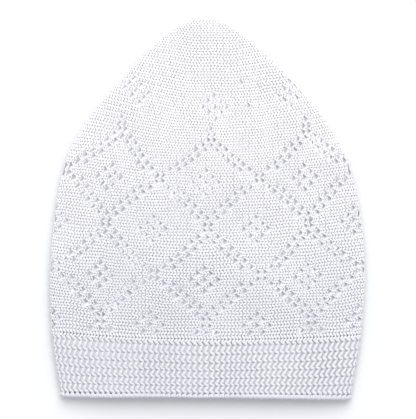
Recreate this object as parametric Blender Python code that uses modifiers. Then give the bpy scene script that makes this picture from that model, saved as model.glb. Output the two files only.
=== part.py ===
"""Knitted prayer cap, lying flat on a table as it is stored.

The cap is a tall pointed tube of lace knitting, closed at the tip and open at the mouth. Lying down it has an
upper and a lower layer, joined by a soft fold at each side. X runs across the cap, +Y from the mouth to the
tip and +Z up. The origin is on the table, under the middle of the cap.
"""

import math
from collections import namedtuple

import bmesh
import bpy
import numpy as np

# Driving sizes, in millimetres
CAP_HEIGHT = 220.0  # mouth edge to tip
BAND_HEIGHT = 36.7  # the welt at the mouth
WALL = 1.8  # thickness of the knitted cloth
SEAM_GAP = 0.36  # kept clear between the welt and the crown
FOLD_HEIGHT = 4.4  # height of the side folds' outermost line above the table
FOLD_REACH = 8.0  # how far in from the fold the lower layer starts to lie flat
TIP_ROUND = 4.5  # length over which the tip is rounded off
CROWNING = 3.2  # exponent of the upper layer's arch: 2 is an ellipse, more is flatter with fuller sides
MOUTH_TILT = 0.0135  # slope of the mouth edge across the cap, which lies a little askew
TILT_FADES_AT = 120.0  # height above the mouth where that slope is gone
BAND_RIBS = 7
RIB_DEPTH = 0.55  # depth of the grooves between the welt's ribs

# How the cap lies, from the mouth up: height at the side folds, half of the width there, how far the middle is
# off to the side, how much lower the knitting runs in the middle than at the folds, and the full thickness
Row = namedtuple("Row", "height half_width shift dip thickness")
ROWS = [
    Row(0.0, 83.4, -0.8, 0.0, 10.6),
    Row(15.0, 85.7, -0.7, 2.2, 11.0),
    Row(30.0, 88.1, -0.5, 4.2, 11.4),
    Row(61.0, 90.4, 0.0, 5.6, 12.0),
    Row(92.0, 90.1, 0.0, 6.2, 12.2),
    Row(120.0, 86.6, 0.0, 6.2, 12.0),
    Row(143.0, 79.8, -0.2, 5.8, 11.4),
    Row(166.0, 65.9, -0.5, 5.0, 10.6),
    Row(184.0, 50.1, -1.0, 4.0, 10.0),
    Row(198.5, 36.2, -1.5, 2.6, 9.4),
    Row(211.5, 20.2, -1.7, 1.0, 8.6),
    Row(218.0, 7.0, -1.8, 0.2, 7.6),
    Row(CAP_HEIGHT, 0.0, -1.8, 0.0, 7.0),
]

# Fineness of the faceted walls
ARCH_STEPS = 24  # over the upper layer
FOLD_STEPS = 3  # round the lower half of each fold
FLAT_STEPS = 12  # across the lower layer
CROWN_RINGS = 26
SPLINE_STEPS = 16  # between two rows of the table

MM = 0.001


def smooth_rows():
    """Rows of a smooth curve through the table. Beyond the tip it is mirrored, which makes the tip round."""
    points = np.array(ROWS)
    below = 2 * points[0] - points[1]
    beyond = points[-2] * np.array([1.0, -1.0, 1.0, 1.0, 1.0])
    points = np.vstack([below, points, beyond])
    rows = []
    for k in range(1, len(points) - 2):
        before, start, end, after = points[k - 1 : k + 3]
        for t in np.arange(SPLINE_STEPS) / SPLINE_STEPS:
            rows.append(
                0.5
                * (
                    2 * start
                    + (end - before) * t
                    + (2 * before - 5 * start + 4 * end - after) * t**2
                    + (3 * start - before - 3 * end + after) * t**3
                )
            )
    rows.append(points[-2])
    return np.array(rows)


def row_at(height, smooth):
    """The cap's Row at any height."""
    return Row(height, *(np.interp(height, smooth[:, 0], column) for column in smooth.T[1:]))


def section(row, inset):
    """One ring of (x, z) round the flattened cap, from the right fold over the top and back underneath."""
    into_tip = max(0.0, (row.height - (CAP_HEIGHT - TIP_ROUND)) / TIP_ROUND)
    rounding = math.sqrt(max(0.0, 1 - into_tip**2))
    half = row.half_width - inset
    above = (row.thickness - FOLD_HEIGHT) * rounding - inset
    below = FOLD_HEIGHT * rounding - inset
    reach = min(FOLD_REACH, row.half_width * 0.5)
    ring = []
    for step in range(ARCH_STEPS):
        angle = math.pi * step / ARCH_STEPS
        across, up = math.cos(angle), math.sin(angle)
        x = math.copysign(abs(across) ** (2 / CROWNING), across) * half
        ring.append((x, FOLD_HEIGHT + above * up ** (2 / CROWNING)))
    lower = []
    for step in range(FOLD_STEPS):
        angle = 0.5 * math.pi * step / FOLD_STEPS
        lower.append((reach * (1 - math.cos(angle)) - half, FOLD_HEIGHT - below * math.sin(angle)))
    for step in range(FLAT_STEPS + 1):
        lower.append(((reach - half) * (1 - 2 * step / FLAT_STEPS), FOLD_HEIGHT - below))
    lower += [(-x, z) for x, z in lower[FOLD_STEPS - 1 : 0 : -1]]
    return ring + lower


def ring_points(height, smooth, inset=0.0):
    """The ring at a height as points in space: it dips in the middle and takes the mouth's slope."""
    row = row_at(height, smooth)
    tilt = MOUTH_TILT * max(0.0, 1 - height / TILT_FADES_AT)
    points = []
    for x, z in section(row, inset):
        dip = row.dip * (1 - (x / row.half_width) ** 2)
        points.append((x + row.shift, height - dip - tilt * x, z))
    return points


def crown_rings(smooth):
    """Rings from the welt to just under the tip, closer together where the tip rounds over."""
    start = BAND_HEIGHT + SEAM_GAP / 2
    rings = []
    for step in range(CROWN_RINGS):
        up = math.sin(0.5 * math.pi * step / (CROWN_RINGS + 1))
        rings.append(ring_points(start + (CAP_HEIGHT - start) * up, smooth))
    return rings


def band_rings(smooth):
    """Rings of the welt: each rib is a groove and a rounded top of two rings."""
    top = BAND_HEIGHT - SEAM_GAP / 2
    pitch = top / BAND_RIBS
    rings = []
    for rib in range(BAND_RIBS):
        for part, inset in ((0.0, RIB_DEPTH), (0.3, 0.0), (0.7, 0.0)):
            rings.append(ring_points((rib + part) * pitch, smooth, inset))
    rings.append(ring_points(top, smooth, RIB_DEPTH))
    return rings


def knitted_wall(name, rings, tip, collection):
    """An open surface through the rings, with the cloth's thickness inwards. A tip closes it at the top."""
    mesh = bmesh.new()
    loops = [[mesh.verts.new(point) for point in ring] for ring in rings]
    count = len(loops[0])
    for lower, upper in zip(loops, loops[1:]):
        for k in range(count):
            after = (k + 1) % count
            mesh.faces.new((lower[after], lower[k], upper[k], upper[after]))
    if tip:
        pole = mesh.verts.new(tip)
        for k in range(count):
            mesh.faces.new((loops[-1][(k + 1) % count], loops[-1][k], pole))
    bmesh.ops.recalc_face_normals(mesh, faces=mesh.faces)
    bmesh.ops.scale(mesh, vec=(MM, MM, MM), verts=mesh.verts)
    data = bpy.data.meshes.new(name)
    mesh.to_mesh(data)
    mesh.free()
    data.shade_smooth()
    wall = bpy.data.objects.new(name, data)
    collection.objects.link(wall)
    thicken = wall.modifiers.new("cloth thickness", "SOLIDIFY")
    thicken.thickness = WALL * MM
    thicken.offset = -1
    thicken.use_even_offset = True
    thicken.use_quality_normals = True
    return wall


def stand_on_origin(walls):
    """Moves the walls so that the origin is on the table, under the middle of the whole cap."""
    points = np.array([tuple(vertex.co) for wall in walls for vertex in wall.data.vertices])
    low, high = points.min(axis=0), points.max(axis=0)
    middle = (low + high) / 2
    for wall in walls:
        for vertex in wall.data.vertices:
            vertex.co.x -= middle[0]
            vertex.co.y -= middle[1]
            vertex.co.z -= low[2]


def knit_material(name, colour, roughness):
    """White mercerised cotton yarn."""
    material = bpy.data.materials.new(name)
    material.use_nodes = True
    shader = material.node_tree.nodes["Principled BSDF"]
    shader.inputs["Base Color"].default_value = (*colour, 1.0)
    shader.inputs["Roughness"].default_value = roughness
    shader.inputs["Metallic"].default_value = 0.0
    return material


def clear_scene():
    for thing in list(bpy.data.objects):
        bpy.data.objects.remove(thing, do_unlink=True)


def main():
    clear_scene()
    collection = bpy.data.collections.new("prayer_cap")
    bpy.context.scene.collection.children.link(collection)
    smooth = smooth_rows()
    tip_row = ROWS[-1]
    tip = (tip_row.shift, CAP_HEIGHT, FOLD_HEIGHT)
    crown = knitted_wall("crown", crown_rings(smooth), tip, collection)
    crown.data.materials.append(knit_material("crown_cotton", (0.86, 0.86, 0.90), 0.85))
    band = knitted_wall("brim_band", band_rings(smooth), None, collection)
    band.data.materials.append(knit_material("band_cotton", (0.82, 0.82, 0.87), 0.88))
    stand_on_origin([crown, band])


main()
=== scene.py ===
"""Looks of a white lace-knitted prayer cap that lies flat on a pale table.

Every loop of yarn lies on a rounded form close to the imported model's: the fine lace knitting of the crown,
the coarse knitting of the welt and the cast-off edge round the mouth. Closed sheets just behind the loops are
the knitting's reverse side. The cloth is knitted sideways, so its courses run from the mouth to the tip and
its wales run round the cap. X runs across the cap, +Y from the mouth to the tip and +Z up. Angles are in
radians and sizes in millimetres, but the sizes of the finishes and of the studio are in metres.
"""

import logging
import math
from dataclasses import dataclass
from enum import Enum
from typing import NamedTuple

import bmesh
import bpy
import numpy as np
from mathutils import Matrix, Vector


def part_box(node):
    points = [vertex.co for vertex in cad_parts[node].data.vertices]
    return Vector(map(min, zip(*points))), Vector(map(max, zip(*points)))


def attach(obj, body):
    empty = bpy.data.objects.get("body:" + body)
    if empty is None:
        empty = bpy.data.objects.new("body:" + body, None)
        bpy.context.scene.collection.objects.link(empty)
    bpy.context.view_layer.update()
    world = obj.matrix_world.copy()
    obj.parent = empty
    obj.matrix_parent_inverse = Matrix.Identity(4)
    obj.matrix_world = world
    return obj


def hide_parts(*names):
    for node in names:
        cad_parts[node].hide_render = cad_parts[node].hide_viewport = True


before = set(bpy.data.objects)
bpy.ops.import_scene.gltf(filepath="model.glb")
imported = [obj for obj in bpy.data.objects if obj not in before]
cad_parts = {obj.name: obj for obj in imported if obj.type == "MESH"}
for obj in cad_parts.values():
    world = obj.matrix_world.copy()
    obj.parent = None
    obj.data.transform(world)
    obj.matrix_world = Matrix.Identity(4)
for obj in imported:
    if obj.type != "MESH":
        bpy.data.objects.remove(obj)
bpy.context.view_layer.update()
MM = 0.001
WELD_DISTANCE = 2e-6  # in metres: points as close as this are joined
MOST_CORNERS = 8  # of a face that closes the end of a yarn
TURN_STEP = 0.01  # to find which way a yarn runs
EDGE_MARGIN = 0.00001  # keeps a place just short of a table's last line
TINY = 1e-9  # keeps a divisor from being nought
LOG = logging.getLogger("prayer_cap")

Table = tuple[tuple[float, ...], ...]
Colour = tuple[float, float, float]
Found = dict[tuple[int, int], float]
Tree = bpy.types.NodeTree
Socket = bpy.types.NodeSocket


class Row(NamedTuple):
    """How the cap lies at one height above its mouth."""

    height: float
    half_width: float
    shift: float
    dip: float
    thickness: float


class Slot(Enum):
    """The material slots of the record."""

    CROWN = "crown_knit"
    WELT = "welt_knit"


class Blend(Enum):
    """The ways to mix two colours."""

    COVER = "MIX"
    DARKEN = "MULTIPLY"


def smooth_curve(points: np.ndarray, steps: int) -> np.ndarray:
    """Draws a smooth curve through the rows of a table.

    Args:
        points: One row for each point, with a spare row before the first and after the last.
        steps: How many rows the result has between two points.

    Returns:
        The rows of the curve.
    """
    rows = []
    for before, start, end, after in zip(points, points[1:], points[2:], points[3:]):
        for t in np.arange(steps) / steps:
            squared = (2 * before - 5 * start + 4 * end - after) * t**2
            cubed = (3 * start - before - 3 * end + after) * t**3
            rows.append(0.5 * (2 * start + (end - before) * t + squared + cubed))
    rows.append(points[-2])
    return np.array(rows)


def look_up(table: np.ndarray, column: np.ndarray, row: np.ndarray) -> np.ndarray:
    """Reads between the whole columns and rows of a table.

    Args:
        table: Values or vectors, by column and row.
        column: Where to read, in columns.
        row: Where to read, in rows.

    Returns:
        One value or vector for each place.
    """
    column = np.clip(column, 0, table.shape[0] - 1 - EDGE_MARGIN)
    row = np.clip(row, 0, table.shape[1] - 1 - EDGE_MARGIN)
    i, j = column.astype(int), row.astype(int)
    a, b = column - i, row - j
    if table.ndim == 3:
        a, b = a[..., None], b[..., None]
    near = table[i, j] * (1 - b) + table[i, j + 1] * b
    far = table[i + 1, j] * (1 - b) + table[i + 1, j + 1] * b
    return near * (1 - a) + far * a


def evened(table: np.ndarray, reach: int) -> np.ndarray:
    """Averages each line of a table with its neighbours.

    Args:
        table: Values, by line and place.
        reach: How many neighbours on each side count. As many lines at each end stay as they are.

    Returns:
        The evened table.
    """
    result = table.copy()
    size = len(table)
    lines = [table[reach + shift : size - reach + shift] for shift in range(-reach, reach + 1)]
    result[reach:-reach] = sum(lines) / len(lines)
    return result


@dataclass
class CapForm:
    """The outer skin of the cap as it lies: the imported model's, a little fuller by the welt and at the tip.

    The two tables of drops have pairs: a place round the cap, as a share of the half girth from the middle
    of the upper layer, and how much lower the line runs there.
    """

    height: float = 220.0
    fold_height: float = 4.4
    fold_reach: float = 8.0
    tip_round: float = 4.5
    crowning: float = 3.2
    mouth_tilt: float = 0.0135
    tilt_fades_at: float = 120.0
    rows: tuple[Row, ...] = (
        Row(0.0, 84.4, -0.8, 0.0, 10.6),
        Row(15.0, 87.1, -0.7, 2.2, 11.0),
        Row(30.0, 89.6, -0.5, 4.2, 11.4),
        Row(61.0, 91.7, 0.1, 5.6, 12.0),
        Row(92.0, 90.8, 0.5, 6.2, 12.2),
        Row(120.0, 86.6, 0.2, 6.2, 12.0),
        Row(143.0, 79.8, -0.2, 5.8, 11.4),
        Row(166.0, 65.9, -0.5, 5.0, 10.6),
        Row(184.0, 50.1, -1.0, 4.0, 10.0),
        Row(198.5, 36.2, -1.5, 2.6, 9.4),
        Row(211.5, 21.6, -1.7, 1.0, 8.6),
        Row(218.0, 10.4, -1.8, 0.3, 7.6),
        Row(220.0, 0.0, -1.8, 0.0, 7.0),
    )
    row_steps: int = 16
    border_drops: Table = ((0.0, 0.0), (0.2, 0.2), (0.4, 0.8), (0.6, 1.7), (0.75, 2.3), (1.0, 1.9))
    hem_drops: Table = (
        (-1.0, 0.9), (-0.5, 1.4), (-0.33, 1.3), (-0.1, 0.5), (0.2, 0.5), (0.5, 0.9), (1.0, 0.9)
    )
    table_gap: float = 0.03
    below_mouth: float = 2.0
    levels: int = 220
    tip_zone: float = 12.0
    tip_levels: int = 60
    open_at_tip: float = 0.002
    around: int = 601
    over_steps: int = 240
    under_steps: int = 40

    def __post_init__(self) -> None:
        """Works out the skin once: its points, its outward directions and its half girth at each level."""
        self.set_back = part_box("crown")[1].y / MM - self.height
        points = np.array(self.rows)
        before = 2 * points[0] - points[1]
        # The row beyond the tip mirrors the one before it, which makes the tip round
        beyond = points[-2] * np.array([1.0, -1.0, 1.0, 1.0, 1.0])
        self.curve = smooth_curve(np.vstack([before, points, beyond]), self.row_steps)
        tip_starts = self.height - self.tip_zone
        low = np.linspace(-self.below_mouth, tip_starts, self.levels, endpoint=False)
        climb = np.sin(np.linspace(0, math.pi / 2, self.tip_levels))
        near_tip = self.height - self.tip_zone * (1 - climb)
        self.heights = np.concatenate([low, near_tip[:-1], [self.height - self.open_at_tip]])
        self.half_girths = np.zeros(len(self.heights))
        self.skin = np.zeros((len(self.heights), self.around, 3))
        for level, height in enumerate(self.heights):
            self.half_girths[level], self.skin[level] = self.ring(height)
        up = np.gradient(self.skin, axis=0)
        across = np.gradient(self.skin, axis=1)
        across[:, 0] = across[:, -1] = self.skin[:, 1] - self.skin[:, -2]
        out = np.cross(across, up)
        self.out = out / np.maximum(np.linalg.norm(out, axis=2, keepdims=True), TINY)

    def row_at(self, height: float) -> Row:
        """How the cap lies at any height."""
        return Row(height, *(np.interp(height, self.curve[:, 0], column) for column in self.curve.T[1:]))

    def ring(self, height: float) -> tuple[float, np.ndarray]:
        """One ring of the skin.

        Args:
            height: Its height above the mouth.

        Returns:
            The half girth, and points at even distances along the ring, from the middle of the lower layer
            over the left fold, the upper layer and the right fold back to where it starts.
        """
        row = self.row_at(height)
        into_tip = max(0.0, (height - (self.height - self.tip_round)) / self.tip_round)
        rounding = math.sqrt(max(0.0, 1 - into_tip**2))
        above = (row.thickness - self.fold_height) * rounding
        below = self.fold_height * rounding
        reach = min(self.fold_reach, row.half_width / 2)
        arch = np.linspace(math.pi / 2, 0, self.over_steps)
        over_x = np.cos(arch) ** (2 / self.crowning) * row.half_width
        over_z = self.fold_height + above * np.sin(arch) ** (2 / self.crowning)
        fold = np.linspace(0, math.pi / 2, self.under_steps)[1:]
        under_x = row.half_width - reach * (1 - np.cos(fold))
        under_z = self.fold_height - below * np.sin(fold)
        half_x = np.concatenate([over_x, under_x, [0.0]])
        half_z = np.concatenate([over_z, under_z, under_z[-1:]])
        along = np.concatenate([[0.0], np.cumsum(np.hypot(np.diff(half_x), np.diff(half_z)))])
        share = np.linspace(-1, 1, self.around)
        x = np.sign(share) * np.interp(np.abs(share) * along[-1], along, half_x)
        z = np.interp(np.abs(share) * along[-1], along, half_z)
        tilt = self.mouth_tilt * max(0.0, 1 - height / self.tilt_fades_at)
        dip = row.dip * (1 - (x / max(row.half_width, TINY)) ** 2)
        return along[-1], np.column_stack([x + row.shift, height - dip - tilt * x + self.set_back, z])

    def half_girth(self, height: np.ndarray) -> np.ndarray:
        """Half of the way round the cap at a height."""
        return np.interp(height, self.heights, self.half_girths)

    def share(self, along: np.ndarray, height: np.ndarray) -> np.ndarray:
        """How far round the cap a place is, as a share of the half girth."""
        return along / np.maximum(self.half_girth(height), TINY)

    def border_drop(self, share: np.ndarray) -> np.ndarray:
        """How far the line between welt and crown runs below its level."""
        places, drops = np.array(self.border_drops).T
        return np.interp(np.abs(share), places, drops)

    def hem_drop(self, share: np.ndarray) -> np.ndarray:
        """How far the hem hangs below its level."""
        places, drops = np.array(self.hem_drops).T
        return np.interp(share, places, drops)

    def place(self, height: np.ndarray, along: np.ndarray, out: np.ndarray) -> np.ndarray:
        """Points on or near the skin.

        Args:
            height: Heights above the mouth.
            along: Distances round the cap from the middle of the upper layer, to the right where positive.
            out: Distances outwards from the skin.

        Returns:
            The points, in metres.
        """
        level = np.interp(height, self.heights, np.arange(len(self.heights)))
        step = (self.share(along, height) + 1) % 2 / 2 * (self.around - 1)
        points = look_up(self.skin, level, step) + look_up(self.out, level, step) * out[..., None]
        points[..., 2] = np.maximum(points[..., 2], self.table_gap)
        return points * MM


@dataclass(frozen=True)
class YarnLoop:
    """One loop of yarn from one edge of its wale to the other. It swings right at the wale's middle.

    The three half-breadths are those at the middle of the wale, on the legs of the loop and at the edge. The
    rise lifts the legs, the edge rise lifts the ends, and the lean slants the loop. The yarn has as many
    facets along it as stations, and round it as sides.
    """

    course: float
    wale: float
    sway: float
    rise: float
    middle: float
    leg: float
    edge: float
    flatness: float
    edge_rise: float = 0.0
    lean: float = 0.0
    stations: int = 8
    sides: int = 4

    def path(self, turn: float) -> Vector:
        """The yarn's middle line, for a turn from minus to plus half a circle."""
        out = -self.rise * math.cos(2 * turn) - self.edge_rise * math.cos(turn)
        swing = self.sway * (math.cos(turn) + self.lean * math.sin(2 * turn))
        return Vector((swing, turn / math.tau * self.wale, out))

    def section_at(self, turn: float) -> Matrix:
        """Places a circle of radius one as the yarn's section.

        Args:
            turn: Where on the loop, from minus to plus half a circle.

        Returns:
            The transform of the circle.
        """
        ahead = (self.path(turn + TURN_STEP) - self.path(turn - TURN_STEP)).normalized()
        side = ahead.cross(Vector((0, 0, 1))).normalized()
        out = side.cross(ahead)
        mix = math.sin(turn) ** 2
        end = self.middle if math.cos(turn) > 0 else self.edge
        half = end + (self.leg - end) * mix
        axes = Matrix((side * half, out * half * self.flatness, ahead)).transposed().to_4x4()
        return Matrix.Translation(self.path(turn)) @ axes

    def build(self) -> "LoopMesh":
        """Extrudes the yarn along its path.

        Returns:
            The loop as arrays, ready to be repeated.
        """
        turns = [-math.pi + math.tau * step / self.stations for step in range(self.stations + 1)]
        shape = bmesh.new()
        along = shape.verts.layers.float.new("along")
        ring = bmesh.ops.create_circle(shape, segments=self.sides, radius=1.0)["verts"]
        angles = {vertex: math.atan2(vertex.co.y, vertex.co.x) / math.tau for vertex in ring}
        edges = shape.edges[:]
        place = self.section_at(turns[0])
        bmesh.ops.transform(shape, matrix=place, verts=ring)
        for step in range(1, self.stations + 1):
            grown = bmesh.ops.extrude_edge_only(shape, edges=edges)["geom"]
            ring = [part for part in grown if isinstance(part, bmesh.types.BMVert)]
            edges = [part for part in grown if isinstance(part, bmesh.types.BMEdge)]
            following = self.section_at(turns[step])
            for vertex in ring:
                local = place.inverted() @ vertex.co
                angles[vertex] = math.atan2(local.y, local.x) / math.tau
                vertex[along] = step / self.stations
            bmesh.ops.transform(shape, matrix=following @ place.inverted(), verts=ring)
            place = following
        shape.verts.index_update()
        bmesh.ops.recalc_face_normals(shape, faces=shape.faces)
        points = np.array([tuple(vertex.co) for vertex in shape.verts])
        station = np.array([round(vertex[along] * self.stations) for vertex in shape.verts])
        spine = np.array([tuple(self.path(turn)) for turn in turns])
        # Blender's own order of these faces changes from run to run
        ordered = sorted(shape.faces, key=lambda face: sorted(vertex.index for vertex in face.verts))
        faces = np.array([[vertex.index for vertex in face.verts] for face in ordered])
        yarn = np.array([[[vertex[along], angles[vertex]] for vertex in face.verts] for face in ordered])
        shape.free()
        # A face that spans the line where the angle starts anew has its low corners a full turn further on
        wrapped = yarn[..., 1].max(axis=1) - yarn[..., 1].min(axis=1) > 0.5
        yarn[..., 1] += (yarn[..., 1] < 0) & wrapped[:, None]
        # The open tube has no inside of its own, so the first face shows which way all of them point
        sides = np.diff(points[faces[0, :3]], axis=0)
        outward = points[faces[0]].mean(axis=0) - np.array(self.path((turns[0] + turns[1]) / 2))
        if np.dot(np.cross(*sides), outward) < 0:
            faces, yarn = faces[:, ::-1], yarn[:, ::-1]
        return LoopMesh(points, faces, yarn, spine, station, points - spine[station])


@dataclass(frozen=True)
class LoopMesh:
    """A shape that is repeated.

    It has points, faces, each face corner's place on the yarn, the yarn's middle line by stations, the
    station of each point, and how far each point is from the middle line.
    """

    points: np.ndarray
    faces: np.ndarray
    yarn: np.ndarray
    spine: np.ndarray
    station: np.ndarray
    offsets: np.ndarray


def finished(shape: bmesh.types.BMesh, data: bpy.types.Mesh) -> bpy.types.Object:
    """Turns a shape into a piece and logs it.

    Args:
        shape: The shape, which is freed.
        data: The mesh that it is written to. The piece has the mesh's name.

    Returns:
        The piece, smooth and in the scene.
    """
    shape.to_mesh(data)
    shape.free()
    data.shade_smooth()
    LOG.info("%s: %d faces", data.name, len(data.polygons))
    piece = bpy.data.objects.new(data.name, data)
    bpy.context.scene.collection.objects.link(piece)
    return piece


def joined_loops(name: str, loop: LoopMesh, places: np.ndarray) -> bpy.types.Object:
    """Makes one mesh of many loops, welded where one passes into the next.

    Args:
        name: The piece's name.
        loop: The loop that all of them are made from.
        places: Where each point of each loop is, in metres.

    Returns:
        The piece.
    """
    count, size = places.shape[:2]
    LOG.info("%s: %d loops", name, count)
    corners = loop.faces.shape[1]
    faces = (loop.faces[None] + (np.arange(count) * size)[:, None, None]).reshape(-1, corners)
    data = bpy.data.meshes.new(name)
    data.vertices.add(count * size)
    data.vertices.foreach_set("co", places.astype(np.float32).ravel())
    data.loops.add(faces.size)
    data.loops.foreach_set("vertex_index", faces.astype(np.int32).ravel())
    data.polygons.add(len(faces))
    data.polygons.foreach_set("loop_start", np.arange(0, faces.size, corners, dtype=np.int32))
    data.update(calc_edges=True)
    layer = data.uv_layers.new(name="yarn")
    layer.data.foreach_set("uv", np.tile(loop.yarn.ravel(), count).astype(np.float32))
    shape = bmesh.new()
    shape.from_mesh(data)
    bmesh.ops.remove_doubles(shape, verts=shape.verts, dist=WELD_DISTANCE)
    rims = [edge for edge in shape.edges if edge.is_boundary]
    bmesh.ops.holes_fill(shape, edges=rims, sides=MOST_CORNERS)
    return finished(shape, data)


@dataclass
class ReverseFace:
    """The close reverse side of the knitting, just behind the loops: two sheets, closed all round.

    The outer sheet runs at an even distance behind the skin and comes nearer to it just below the tip.
    """

    form: CapForm
    name: str
    lowest: float
    highest: float
    behind: float = 1.3
    behind_at_tip: float = 0.6
    rises_over: float = 2.5
    thickness: float = 0.45
    around: int = 192
    rows: int = 80
    hollows_within: float = 0.97

    def build(self, hollows: np.ndarray) -> bpy.types.Object:
        """Bends one grid up along the outer sheet and back down along the inner one.

        Args:
            hollows: Rows of place round the cap, height and depth. The nearest point of the grid moves there.

        Returns:
            The piece.
        """
        shape = bmesh.new()
        bmesh.ops.create_grid(shape, x_segments=self.around, y_segments=2 * self.rows, size=1.0)
        flat = np.array([vertex.co[:2] for vertex in shape.verts])
        column = np.round((flat[:, 0] + 1) / 2 * self.around).astype(int)
        level = np.round((1 - np.abs(flat[:, 1])) * self.rows).astype(int)
        ends = (level == 0) | (level == self.rows)
        into = np.where(ends, 0.5, np.where(flat[:, 1] < 0, 0.0, 1.0)) * self.thickness
        along, height, depth = self.table(hollows)[:, column, level]
        tip = self.form.height
        behind = np.interp(height, (tip - self.rises_over, tip), (self.behind, self.behind_at_tip))
        places = self.form.place(height, along, -behind - into - depth)
        # Painted shade in the hollows behind the eyelets: the deeper a point's hollow, the darker it is
        # painted
        hollow_shade = shape.verts.layers.float.new("hollow_shade")
        for vertex, place, deep in zip(shape.verts, places, depth):
            vertex.co = place
            vertex[hollow_shade] = min(1.0, float(deep))
        yarn = shape.loops.layers.uv.new("yarn")
        for face in shape.faces:
            for corner in face.loops:
                corner[yarn].uv = flat[corner.vert.index] * (self.around / 2, self.rows)
        bmesh.ops.remove_doubles(shape, verts=shape.verts, dist=WELD_DISTANCE)
        bmesh.ops.recalc_face_normals(shape, faces=shape.faces)
        return finished(shape, bpy.data.meshes.new(self.name))

    def table(self, hollows: np.ndarray) -> np.ndarray:
        """The place round the cap, the height and the depth of each point of the grid.

        Args:
            hollows: Rows of place round the cap, height and depth.

        Returns:
            The three values by column and row. Hollows by the middle of the lower layer are left out.
        """
        levels = np.linspace(self.lowest, self.highest, self.rows + 1)
        height = np.tile(levels, (self.around + 1, 1))
        along = np.linspace(-1, 1, self.around + 1)[:, None] * self.form.half_girth(height)
        found = np.array([along, height, np.zeros(along.shape)])
        for place, at, deep in hollows:
            share = self.form.share(place, at)
            column = round((share + 1) / 2 * self.around)
            level = round((at - self.lowest) / (self.highest - self.lowest) * self.rows)
            if abs(share) < self.hollows_within and 0 < level < self.rows:
                found[:, column, level] = place, at, deep
        return found

    def dress(self, piece: bpy.types.Object, finish: "CottonYarn", node: str, slot: Slot) -> None:
        """Gives the face its finish and puts it in its node's place."""
        piece.data.materials.append(finish.build())
        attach(piece, "root")
        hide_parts(node)


def share_of_range(tree: Tree, value: Socket, limits: tuple[float, float]) -> Socket:
    """Adds a node that turns a value into a share.

    Args:
        tree: The material's nodes.
        value: Where the value comes from.
        limits: The values at which the share is none and all.

    Returns:
        Where the share comes out.
    """
    node = tree.nodes.new("ShaderNodeMapRange")
    node.inputs["From Min"].default_value = limits[0]
    node.inputs["From Max"].default_value = limits[1]
    tree.links.new(value, node.inputs["Value"])
    return node.outputs["Result"]


def noise(tree: Tree, here: Socket, scale: float, detail: float) -> Socket:
    """Adds a noise.

    Args:
        tree: The material's nodes.
        here: Where the piece's own coordinates come from.
        scale: How many spots there are in a metre.
        detail: How many times each spot is divided.

    Returns:
        Where the noise comes out.
    """
    node = tree.nodes.new("ShaderNodeTexNoise")
    node.inputs["Scale"].default_value = scale
    node.inputs["Detail"].default_value = detail
    tree.links.new(here, node.inputs["Vector"])
    return node.outputs["Fac"]


def mixed(
    tree: Tree, share: Socket, first: "Socket | Colour", second: Colour, blend: Blend = Blend.COVER
) -> Socket:
    """Adds a mix of two colours.

    Args:
        tree: The material's nodes.
        share: Where the share of the second colour comes from.
        first: The first colour, or where it comes from.
        second: The second colour.
        blend: How they are mixed.

    Returns:
        Where the mixed colour comes out.
    """
    node = tree.nodes.new("ShaderNodeMix")
    node.data_type = "RGBA"
    node.blend_type = blend.value
    if isinstance(first, tuple):
        node.inputs["A"].default_value = (*first, 1.0)
    else:
        tree.links.new(first, node.inputs["A"])
    node.inputs["B"].default_value = (*second, 1.0)
    tree.links.new(share, node.inputs["Factor"])
    return node.outputs["Result"]


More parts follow.
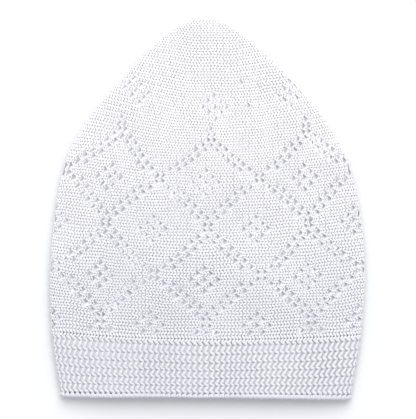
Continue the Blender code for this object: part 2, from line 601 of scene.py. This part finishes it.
@dataclass(frozen=True)
class CottonYarn:
    """White mercerised cotton, twisted from two plies.

    Towards the mouth a second colour darkens its colour, more and more over a range along Y: painted shade,
    greyer and bluer where the light falls off. Behind the eyelets a third colour takes its place as far as a
    piece's own attribute says: painted shade in the hollows there.
    """

    name: str
    colour: Colour
    mouth_shade: Colour = (1.0, 1.0, 1.0)
    mouth_shade_range: tuple[float, float] = (0.06, -0.07)
    hollow_shade_colour: Colour = (0.48, 0.48, 0.52)
    unevenness: float = 0.05
    cloud_scale: float = 28.0
    cloud_detail: float = 2.0
    cloud_range: tuple[float, float] = (0.3, 0.7)
    roughness: float = 0.85
    specular: float = 0.25
    sheen: float = 0.15
    sheen_roughness: float = 0.5
    twists: float = 3.0
    plies: float = 2.0
    ply_scale: float = 0.625
    fibre_scale: float = 2600.0
    fibre_detail: float = 3.0
    relief_strength: float = 0.25
    relief_height: float = 0.0001

    def build(self) -> bpy.types.Material:
        """Makes the material."""
        material = bpy.data.materials.new(self.name)
        material.use_nodes = True
        tree = material.node_tree
        shader = tree.nodes["Principled BSDF"]
        shader.inputs["Roughness"].default_value = self.roughness
        shader.inputs["Specular IOR Level"].default_value = self.specular
        shader.inputs["Sheen Weight"].default_value = self.sheen
        shader.inputs["Sheen Roughness"].default_value = self.sheen_roughness
        here = tree.nodes.new("ShaderNodeTexCoord").outputs["Object"]
        tree.links.new(self.tint(tree, here), shader.inputs["Base Color"])
        tree.links.new(self.relief(tree, here), shader.inputs["Normal"])
        return material

    def tint(self, tree: Tree, here: Socket) -> Socket:
        """Adds the yarn's colour: cloudy, with painted shade towards the mouth and painted shade in the
        hollows behind the eyelets.

        Args:
            tree: The material's nodes.
            here: Where the piece's own coordinates come from.

        Returns:
            Where the colour comes out.
        """
        clouds = noise(tree, here, self.cloud_scale, self.cloud_detail)
        dim = tuple(part * (1 - self.unevenness) for part in self.colour)
        cloudy = mixed(tree, share_of_range(tree, clouds, self.cloud_range), dim, self.colour)
        # Painted shade: the colour turns greyer and bluer towards the mouth
        length = tree.nodes.new("ShaderNodeSeparateXYZ")
        tree.links.new(here, length.inputs["Vector"])
        mouth_shade_share = share_of_range(tree, length.outputs["Y"], self.mouth_shade_range)
        mouth_shaded = mixed(tree, mouth_shade_share, cloudy, self.mouth_shade, Blend.DARKEN)
        # Painted shade behind the eyelets, as far as the piece's attribute says
        hollow_shade = tree.nodes.new("ShaderNodeAttribute")
        hollow_shade.attribute_name = "hollow_shade"
        return mixed(tree, hollow_shade.outputs["Fac"], mouth_shaded, self.hollow_shade_colour)

    def relief(self, tree: Tree, here: Socket) -> Socket:
        """Adds the yarn's relief: plies wind round it and fine fibres stand on them.

        Args:
            tree: The material's nodes.
            here: Where the piece's own coordinates come from.

        Returns:
            Where the direction of the surface comes out.
        """
        place = tree.nodes.new("ShaderNodeUVMap")
        place.uv_map = "yarn"
        turn = tree.nodes.new("ShaderNodeMapping")
        turn.inputs["Scale"].default_value = (self.twists, self.plies, 1.0)
        tree.links.new(place.outputs["UV"], turn.inputs["Vector"])
        wound = tree.nodes.new("ShaderNodeTexWave")
        wound.bands_direction = "DIAGONAL"
        wound.inputs["Scale"].default_value = self.ply_scale
        tree.links.new(turn.outputs["Vector"], wound.inputs["Vector"])
        both = tree.nodes.new("ShaderNodeMath")
        both.operation = "ADD"
        tree.links.new(wound.outputs["Fac"], both.inputs[0])
        tree.links.new(noise(tree, here, self.fibre_scale, self.fibre_detail), both.inputs[1])
        bump = tree.nodes.new("ShaderNodeBump")
        bump.inputs["Strength"].default_value = self.relief_strength
        bump.inputs["Distance"].default_value = self.relief_height
        tree.links.new(both.outputs["Value"], bump.inputs["Height"])
        return bump.outputs["Normal"]


@dataclass(frozen=True)
class LaceChart:
    """The eyelets of the crown: a net with a small diamond in each mesh and a second line in every other one.

    Places are whole courses, counted from the middle of the upper layer, and whole wales above the welt. The
    strays are single eyelets near the tip.
    """

    courses: int = 192
    margin: int = 4
    repeat: int = 32
    first_crossing: float = 2.5
    crossing_step: int = 8
    lowest: int = 1
    highest: int = 35
    main: float = 1.0
    second: float = 0.85
    diamond: float = 0.9
    diamond_rows: int = 4
    diamond_shape: tuple[tuple[int, tuple[int, ...]], ...] = (
        (2, (0,)), (1, (-2, 2)), (0, (-4, 0, 4)), (-1, (-2, 2)), (-2, (0,))
    )
    tip_diamonds: tuple[tuple[int, int], ...] = ((2, 40), (-24, 41), (27, 41))
    strays: tuple[tuple[int, int], ...] = ((11, 44), (13, 40), (17, 43))
    stray: float = 0.6
    uneven: float = 0.1
    seed: int = 3

    def on_line(self, course: int, wale: int, lean: int) -> bool:
        """Whether a main line passes through a place. It falls to the right where its lean is one."""
        return (lean * course + 2 * wale - int(2 * self.first_crossing)) % self.repeat == 0

    def at_corner(self, wale: int) -> bool:
        """Whether a wale is beside a mesh's side corners, where the second line has no room."""
        above = (wale - self.first_crossing + 0.5) % (2 * self.crossing_step)
        return wale < self.highest and above in (self.crossing_step, self.crossing_step + 1)

    def eyelets(self) -> np.ndarray:
        """All eyelets as rows of course, wale and size."""
        found: Found = {}
        half = self.courses // 2
        for course in range(-half - self.margin, half + self.margin):
            for wale in range(self.lowest, self.highest + 1):
                band = math.floor((wale - self.first_crossing) / self.crossing_step)
                inner = 1 if band % 2 == 0 else -1
                for lean in (1, -1):
                    if self.on_line(course, wale, lean):
                        self.add(found, course, wale, self.main)
                        if not self.at_corner(wale + inner):
                            self.add(found, course + lean * inner, wale + inner, self.second)
        for step in range(self.diamond_rows):
            wale = round(self.first_crossing + step * self.crossing_step - 0.5)
            offset = self.repeat // 2 if step % 2 == 0 else 0
            for course in range(offset - half, half + 1, self.repeat):
                self.add_diamond(found, course - 1, wale)
        for course, wale in self.tip_diamonds:
            self.add_diamond(found, course, wale)
        for course, wale in self.strays:
            self.add(found, course, wale, self.stray)
        uneven = np.random.RandomState(self.seed).uniform(1 - self.uneven, 1 + self.uneven, len(found))
        return np.array([(*place, size * by) for (place, size), by in zip(found.items(), uneven)])

    def add(self, found: Found, course: int, wale: int, size: float) -> None:
        """Adds an eyelet, or enlarges the one that is there, if it lies above the welt."""
        if self.lowest <= wale:
            found[course, wale] = max(size, found.get((course, wale), 0.0))

    def add_diamond(self, found: Found, course: int, wale: int) -> None:
        """Adds nine eyelets in a diamond."""
        for row, spread in self.diamond_shape:
            for step in spread:
                self.add(found, course + step, wale + row, self.diamond)


@dataclass
class Handwork:
    """The small unevenness of knitting: each loop a little off, and slow waves over many loops."""

    courses: int
    wales: int
    seed: int
    loop_shift: float = 0.12
    wave_shift: float = 0.35
    loop_rise: float = 0.08
    wave_rise: float = 0.1
    calming: int = 12

    def __post_init__(self) -> None:
        """Draws the shifts for every place, the same at the first and last course."""
        draw = np.random.RandomState(self.seed)
        size = (self.courses + 1, self.wales + 3, 3)
        fine = draw.normal(size=size)
        broad = draw.normal(size=size)
        for _ in range(self.calming):
            for axis in (0, 1):
                broad = (np.roll(broad, 1, axis=axis) + np.roll(broad, -1, axis=axis) + broad) / 3
        broad /= broad.std()
        amount = np.array([self.loop_shift, self.loop_shift, self.loop_rise])
        wave = np.array([self.wave_shift, self.wave_shift, self.wave_rise])
        self.table = fine * amount + broad * wave
        self.table[-1] = self.table[0]

    def at(self, course: np.ndarray, wale: np.ndarray) -> np.ndarray:
        """The shift across the courses, across the wales and outwards, in millimetres."""
        return look_up(self.table, (course + self.courses / 2) % self.courses, wale + 1)


@dataclass
class CrownKnit:
    """The crown: yarn loops in courses from the welt to the tip, opened into eyelets.

    The wales' heights, spread and lift are tables with one row for each of a few wales. A row of the spread
    says how far round the cap the courses at the knots run. A row of the lift says how much higher the wale
    lies at three places round the cap, which are shares of the half girth.
    """

    form: CapForm
    chart: LaceChart
    loop: YarnLoop = YarnLoop(
        course=1.85, wale=3.5, sway=0.78, rise=0.16, middle=0.5, leg=0.82, edge=0.5, flatness=0.45
    )
    depth: float = 0.9
    courses: int = 192
    wales: int = 56
    piece_wales: tuple[tuple[int, int], ...] = ((0, 13), (14, 27), (28, 42), (43, 56))
    spare_girth: float = 0.2
    eyelet_radius: float = 1.46
    eyelet_reach: float = 4.6
    eyelet_height: float = 1.15
    eyelet_window: tuple[float, float] = (2.4, 1.6)
    roundness: float = 2.5
    straightening: float = 0.5
    straight_within: float = 0.6
    straight_until: float = 2.4
    eyelet_thinning: float = 0.35
    thin_reach: float = 2.7
    thins_over: float = 1.2
    hollow_depth: float = 1.2
    steady_wales: float = 3.0
    seed: int = 11
    wale_heights: Table = (
        (-0.5, 36.2),
        (2.5, 48.2),
        (10.5, 75.6),
        (18.5, 104.8),
        (26.5, 131.4),
        (34.5, 156.6),
        (40.0, 173.4),
        (48.0, 197.2),
        (52.0, 208.6),
        (54.0, 213.8),
        (55.0, 216.3),
        (56.0, 218.6),
        (56.5, 219.6),
    )
    height_steps: int = 8
    knots: tuple[int, ...] = (-48, -32, -16, 0, 16, 32, 48)
    spread: Table = (
        (2.5, -91.0, -61.6, -31.0, -0.4, 30.4, 60.9, 91.0),
        (10.5, -87.6, -60.4, -31.4, 0.0, 31.4, 60.4, 87.6),
        (18.5, -87.2, -58.9, -29.4, 0.3, 29.3, 57.9, 86.2),
        (26.5, -81.6, -55.5, -28.2, 1.2, 31.0, 58.5, 85.5),
        (34.5, -72.0, -45.5, -21.8, 3.2, 30.2, 57.6, 86.0),
        (42.0, -84.0, -56.0, -28.0, 1.0, 30.0, 59.0, 88.0),
        (56.5, -89.0, -59.0, -29.5, 0.5, 30.0, 60.0, 90.0),
    )
    narrowest: float = 1.6
    lift: Table = (
        (22.0, 0.0, 0.0, 0.0),
        (28.0, 2.6, 0.4, 0.8),
        (34.5, 9.5, -2.0, 3.2),
        (41.0, 8.8, -1.6, 1.5),
        (47.5, 5.0, -0.8, 1.0),
        (56.5, 0.0, 0.0, 0.0),
    )
    lift_at: tuple[float, float, float] = (-0.72, 0.0, 0.72)
    lift_beyond: float = 1.3
    lift_left_beyond: float = 0.6
    border_until: float = 6.0
    border_fades_over: float = 6.5
    evening_passes: int = 3
    evened_courses: int = 5
    evened_wales: int = 2
    evened_lifts: int = 6

    def __post_init__(self) -> None:
        """Works out where the courses and wales run, once for all loops."""
        self.half = self.courses // 2
        self.ks = np.arange(-1, self.wales + 2)
        self.along = self.courses_round()
        self.raised = self.wales_raised()

    def courses_round(self) -> np.ndarray:
        """Lays out the courses. Those past the knots are as wide as the narrowest at least.

        Returns:
            How far round the cap each course runs at each wale.
        """
        table = np.array(self.spread)
        inner = np.array([np.interp(self.ks, table[:, 0], column) for column in table.T[1:]])
        girth = self.form.half_girth(self.height_of(self.ks))
        room = (self.half - self.knots[-1]) * self.narrowest
        left = -np.maximum(girth, np.abs(inner[0]) + room)
        right = np.maximum(girth, np.abs(inner[-1]) + room)
        lines = np.vstack([left, inner, right])
        knots = (-self.half, *self.knots, self.half)
        courses = np.arange(-self.half, self.half + 1)
        along = np.array([np.interp(courses, knots, line) for line in lines.T]).T
        ends = along[[0, -1]].copy()
        for _ in range(self.evening_passes):
            along = evened(along, self.evened_courses)
            along = evened(along.T, self.evened_wales).T
        along[[0, -1]] = ends
        return along

    def wales_raised(self) -> np.ndarray:
        """Lifts the wales at the three places, and lowers the first ones to the welt's curved border.

        Returns:
            How much higher than its level each wale lies at each course.
        """
        table = np.array(self.lift)
        lifts = np.array([np.interp(self.ks, table[:, 0], column) for column in table.T[1:]])
        share = self.form.share(self.along, self.height_of(self.ks))
        places = (-self.lift_beyond, *self.lift_at, self.lift_beyond)
        raised = np.zeros(share.shape)
        for j, (wale, lift) in enumerate(zip(self.ks, lifts.T)):
            values = (lift[0] * self.lift_left_beyond, *lift, lift[-1] * self.lift_left_beyond)
            border = np.clip((self.border_until - wale) / self.border_fades_over, 0, 1)
            raised[:, j] = np.interp(np.clip(share[:, j], -1, 1), places, values)
            raised[:, j] -= self.form.border_drop(share[:, j]) * border
        for _ in range(self.evening_passes):
            raised = evened(raised, self.evened_lifts)
        return raised

    def height_at(self, course: np.ndarray, wale: np.ndarray) -> np.ndarray:
        """The height above the mouth at a course, counted from the first one, and a wale."""
        return self.height_of(wale) + look_up(self.raised, course, wale + 1)

    def height_of(self, wale: np.ndarray) -> np.ndarray:
        """The height above the mouth at a wale."""
        table = np.array(self.wale_heights)
        rows = np.vstack([2 * table[0] - table[1], table, 2 * table[-1] - table[-2]])
        curve = smooth_curve(rows, self.height_steps)
        return np.interp(wale, curve[:, 0], curve[:, 1])

    def opened(
        self, course: np.ndarray, wale: np.ndarray, swing: np.ndarray
    ) -> tuple[np.ndarray, np.ndarray, np.ndarray]:
        """Pushes the yarn aside round every eyelet, where it is also drawn straighter and thinner.

        Args:
            course: Places in courses.
            wale: Places in wales.
            swing: How far each place is from the middle of its loop, in courses.

        Returns:
            The new places, in courses and in wales, and how thick the yarn is as a share.
        """
        new_course, new_wale = course.copy(), wale.copy()
        thick, straight = np.ones(course.shape), np.zeros(course.shape)
        pitch = np.gradient(self.height_of(self.ks))
        wide, high = self.eyelet_window
        for at_course, at_wale, size in self.chart.eyelets():
            tall = np.interp(at_wale, self.ks, pitch)
            near = (np.abs(course - at_course) < wide) & (np.abs(wale - at_wale) < high)
            side = (course[near] - at_course) * self.loop.course
            up = (wale[near] - at_wale) * tall
            drawn = (self.straight_until - np.hypot(side, up)) / (self.straight_until - self.straight_within)
            drawn = self.straightening * np.clip(drawn, 0, 1)
            straight[near] = np.maximum(straight[near], drawn)
            side -= swing[near] * drawn * self.loop.course
            away = np.hypot(side, up / self.eyelet_height) + TINY
            hole = size * self.eyelet_radius
            fade = np.clip((self.eyelet_reach - away) / (self.eyelet_reach - self.eyelet_radius), 0, 1)
            fade = fade * fade * (3 - 2 * fade)
            pushed = (away**self.roundness + hole**self.roundness) ** (1 / self.roundness)
            push = (pushed - away) * fade
            new_course[near] += side / away * push / self.loop.course
            new_wale[near] += up / away * push / tall
            thinned = np.clip((self.thin_reach - away) / self.thins_over, 0, 1)
            thick[near] = np.minimum(thick[near], 1 - self.eyelet_thinning * thinned)
        return new_course - swing * straight, new_wale, thick

    def hollows(self) -> np.ndarray:
        """Where the knitting's reverse face draws back: rows of place round the cap, height and depth."""
        eyelets = self.chart.eyelets()
        course, wale, size = eyelets[np.abs(eyelets[:, 0]) < self.half].T
        along = look_up(self.along, course + self.half, wale + 1)
        return np.array([along, self.height_at(course + self.half, wale), size * self.hollow_depth]).T

    def build(self) -> list[bpy.types.Object]:
        """Lays all loops and joins them into four pieces.

        Returns:
            The pieces, from the welt to the tip.
        """
        mesh = self.loop.build()
        offset = 0.5 - self.loop.sway / self.loop.course
        strand, wale = np.meshgrid(np.arange(-self.half, self.half), np.arange(self.wales + 1), indexing="ij")
        strand, wale = strand.ravel() + offset, wale.ravel().astype(float)
        along = look_up(self.along, strand + self.half, wale + 1)
        kept = np.abs(along) <= self.form.half_girth(self.height_of(wale)) + self.spare_girth
        strand, wale = strand[kept], wale[kept]
        handwork = Handwork(self.courses, self.wales, self.seed)
        pieces = []
        for number, (first, last) in enumerate(self.piece_wales, start=1):
            these = (wale >= first) & (wale <= last)
            places = self.laid(mesh, strand[these], wale[these], handwork)
            pieces.append(joined_loops(f"crown_knit_{number}", mesh, places))
        return pieces

    def laid(self, mesh: LoopMesh, strand: np.ndarray, wale: np.ndarray, handwork: Handwork) -> np.ndarray:
        """Lays loops on the cap.

        Args:
            mesh: The loop that is repeated.
            strand: The place of each loop, in courses.
            wale: The wale of each loop.
            handwork: The unevenness of the knitting.

        Returns:
            Where each point of each loop is, in metres.
        """
        course = strand[:, None] + mesh.spine[None, :, 0] / self.loop.course
        level = wale[:, None] + mesh.spine[None, :, 1] / self.loop.wale
        shift = handwork.at(course, level)
        # The lowest wales keep in line, so that no gap opens above the welt
        shift[..., 1] *= np.clip((level + 0.5) / self.steady_wales, 0, 1)
        swing = np.tile((mesh.spine[:, 0] - self.loop.sway) / self.loop.course, (len(course), 1))
        course, level, thick = self.opened(course, level, swing)
        offsets = thick[:, mesh.station, None] * mesh.offsets + shift[:, mesh.station]
        course = course[:, mesh.station] + offsets[..., 0] / self.loop.course
        level = level[:, mesh.station] + offsets[..., 1] / self.loop.wale
        along = look_up(self.along, course + self.half, level + 1)
        out = mesh.spine[mesh.station, 2] + offsets[..., 2] - self.depth
        return self.form.place(self.height_at(course + self.half, level), along, out)

    def dress(self, pieces: list[bpy.types.Object], finish: CottonYarn) -> None:
        """Gives the pieces their finish and puts them in the crown's place."""
        material = finish.build()
        for piece in pieces:
            piece.data.materials.append(material)
            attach(piece, "root")
            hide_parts("crown")


class MouthKnit:
    """A piece by the mouth."""

    def dress(self, piece: bpy.types.Object, finish: CottonYarn) -> None:
        """Gives the piece its finish and puts it in the band's place."""
        piece.data.materials.append(finish.build())
        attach(piece, "root")
        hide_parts("brim_band")


@dataclass
class BrimWelt(MouthKnit):
    """The welt: coarse knitting in seven wales, with loops that lean to the right."""

    form: CapForm
    loop: YarnLoop = YarnLoop(
        course=3.0,
        wale=5.2,
        sway=0.75,
        rise=0.08,
        edge_rise=0.1,
        middle=0.84,
        leg=1.02,
        edge=0.95,
        flatness=0.38,
        lean=0.35,
        stations=12,
        sides=6,
    )
    depth: float = 0.95
    courses: int = 116
    seed: int = 5
    wale_edges: tuple[float, ...] = (0.2, 5.5, 10.1, 15.2, 20.5, 25.8, 31.2, 37.2)
    hem_wales: float = 2.5

    def build(self) -> bpy.types.Object:
        """Lays all loops of the welt and joins them.

        Returns:
            The piece.
        """
        mesh = self.loop.build()
        half = self.courses // 2
        wales = len(self.wale_edges) - 1
        strand, wale = np.meshgrid(np.arange(-half, half), np.arange(wales), indexing="ij")
        course = strand.reshape(-1, 1) + mesh.points[None, :, 0] / self.loop.course
        level = wale.reshape(-1, 1) + 0.5 + mesh.points[None, :, 1] / self.loop.wale
        shift = Handwork(self.courses, wales, self.seed).at(course, level)
        course = course + shift[..., 0] / self.loop.course
        # The welt's two edges keep in line with the crown and the cast-off edge
        level = level + shift[..., 1] / self.loop.wale * np.sin(math.pi * np.clip(level / wales, 0, 1))
        height = np.interp(level, np.arange(wales + 1), self.wale_edges)
        share = (course / half + 1) % 2 - 1
        height -= self.form.border_drop(share) * np.clip(level / wales, 0, 1)
        height -= self.form.hem_drop(share) * np.clip(1 - level / self.hem_wales, 0, 1)
        along = course / half * self.form.half_girth(height)
        out = mesh.points[None, :, 2] + shift[..., 2] - self.depth
        return joined_loops("welt_knit", mesh, self.form.place(height, along, out))


@dataclass
class CastOffEdge(MouthKnit):
    """The last row of stitches, which lies along the mouth as a lumpy cord."""

    form: CapForm
    loop: YarnLoop = YarnLoop(
        course=3.0, wale=3.0, sway=0.25, rise=0.12, middle=1.4, leg=1.15, edge=0.6, flatness=0.62, sides=8
    )
    height: float = 1.4
    depth: float = 0.8
    stitches: int = 112
    seed: int = 8
    height_shift: float = 0.4
    out_shift: float = 0.5

    def build(self) -> bpy.types.Object:
        """Lays the stitches round the mouth and joins them.

        Returns:
            The piece.
        """
        mesh = self.loop.build()
        stitch = np.arange(self.stitches)[:, None] + mesh.points[None, :, 1] / self.loop.wale
        share = stitch / self.stitches * 2 - 1
        handwork = Handwork(self.stitches, 1, self.seed)
        shift = handwork.at((share + 1) / 2 * self.stitches, np.zeros(share.shape))
        height = self.height + mesh.points[None, :, 0] + shift[..., 1] * self.height_shift
        height = height - self.form.hem_drop((share + 1) % 2 - 1)
        out = mesh.points[None, :, 2] + shift[..., 2] * self.out_shift - self.depth
        along = share * self.form.half_girth(height)
        return joined_loops("cast_off_edge", mesh, self.form.place(height, along, out))


@dataclass(frozen=True)
class Studio:
    """White table, a wide soft light from beyond the tip and a pale room. Sizes are in metres."""

    table_size: float = 3.0
    table_colour: Colour = (0.8, 0.8, 0.805)
    table_roughness: float = 0.9
    table_specular: float = 0.1
    key_power: float = 116.0
    key_size: float = 3.24
    key_distance: float = 3.6
    key_height: float = 0.95
    key_side: float = 0.06
    room_colour: Colour = (0.94, 0.955, 1.0)
    room_strength: float = 0.745
    camera_height: float = 1.6
    view_width: float = 0.2402
    view_centre: tuple[float, float] = (0.0006, -0.0009)
    subject_height: float = 0.01

    def build(self) -> None:
        """Sets up the table, the lights, the camera and the way that colours are shown."""
        self.lay_table()
        self.hang_light()
        self.place_camera()
        bpy.context.scene.view_settings.view_transform = "Standard"

    def lay_table(self) -> None:
        """A plain white sheet under the cap."""
        shape = bmesh.new()
        bmesh.ops.create_grid(shape, x_segments=1, y_segments=1, size=self.table_size / 2)
        table = finished(shape, bpy.data.meshes.new("table_top"))
        material = bpy.data.materials.new("white_card")
        material.use_nodes = True
        shader = material.node_tree.nodes["Principled BSDF"]
        shader.inputs["Base Color"].default_value = (*self.table_colour, 1.0)
        shader.inputs["Roughness"].default_value = self.table_roughness
        shader.inputs["Specular IOR Level"].default_value = self.table_specular
        table.data.materials.append(material)

    def hang_light(self) -> None:
        """The key light, which faces the cap, and the pale room round it."""
        light = bpy.data.lights.new("key_light", "AREA")
        light.shape = "SQUARE"
        light.size = self.key_size
        light.energy = self.key_power
        lamp = bpy.data.objects.new("key_light", light)
        lamp.location = (
            self.key_distance * self.key_side,
            self.key_distance * math.cos(self.key_height),
            self.key_distance * math.sin(self.key_height),
        )
        lamp.rotation_euler = (-lamp.location).to_track_quat("-Z", "Y").to_euler()
        bpy.context.scene.collection.objects.link(lamp)
        world = bpy.data.worlds.new("pale_room")
        world.use_nodes = True
        room = world.node_tree.nodes["Background"]
        room.inputs["Color"].default_value = (*self.room_colour, 1.0)
        room.inputs["Strength"].default_value = self.room_strength
        bpy.context.scene.world = world

    def place_camera(self) -> None:
        """A long lens straight above the cap."""
        camera = bpy.data.cameras.new("camera")
        camera.sensor_fit = "HORIZONTAL"
        camera.angle = 2 * math.atan(self.view_width / 2 / (self.camera_height - self.subject_height))
        eye = bpy.data.objects.new("camera", camera)
        eye.location = (*self.view_centre, self.camera_height)
        bpy.context.scene.collection.objects.link(eye)
        bpy.context.scene.camera = eye


def main() -> None:
    """Builds the cap's pieces in order, dresses them and sets up the studio."""
    logging.basicConfig(level=logging.INFO, format="%(name)s %(message)s")
    form = CapForm()
    crown = CrownKnit(form, LaceChart())
    # The second colour is painted shade, greyer and bluer towards the mouth
    crown_finish = CottonYarn("crown_cotton", (0.948, 0.937, 0.945), mouth_shade=(0.855, 0.855, 0.905))
    crown.dress(crown.build(), crown_finish)
    welt = BrimWelt(form)
    # Darker and bluer than the crown's yarn: painted shade at the mouth's end, where the light falls off
    welt.dress(welt.build(), CottonYarn("welt_shaded_cotton", (0.722, 0.714, 0.757), twists=5.0))
    edge = CastOffEdge(form)
    # Darker than the crown's yarn: painted shade that tones down the light on the top of the cord
    edge.dress(edge.build(), CottonYarn("edge_shaded_cotton", (0.69, 0.683, 0.725)))
    crown_back = ReverseFace(form, "crown_reverse", lowest=37.0, highest=219.998)
    # Darker than the crown's yarn: painted shade on the reverse face, seen through the eyelets
    crown_back_finish = CottonYarn("crown_reverse_shaded_cotton", (0.85, 0.845, 0.87))
    crown_back.dress(crown_back.build(crown.hollows()), crown_back_finish, "crown", Slot.CROWN)
    welt_back = ReverseFace(form, "welt_reverse", lowest=1.0, highest=36.7, behind=1.5, rows=16)
    # Darker than the welt's yarn: painted shade on the reverse face, seen through the slits between loops
    welt_back_finish = CottonYarn("welt_reverse_shaded_cotton", (0.64, 0.64, 0.68))
    no_hollows = np.empty((0, 3))
    welt_back.dress(welt_back.build(no_hollows), welt_back_finish, "brim_band", Slot.WELT)
    Studio().build()
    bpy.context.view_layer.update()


if __name__ == "__main__":
    main()
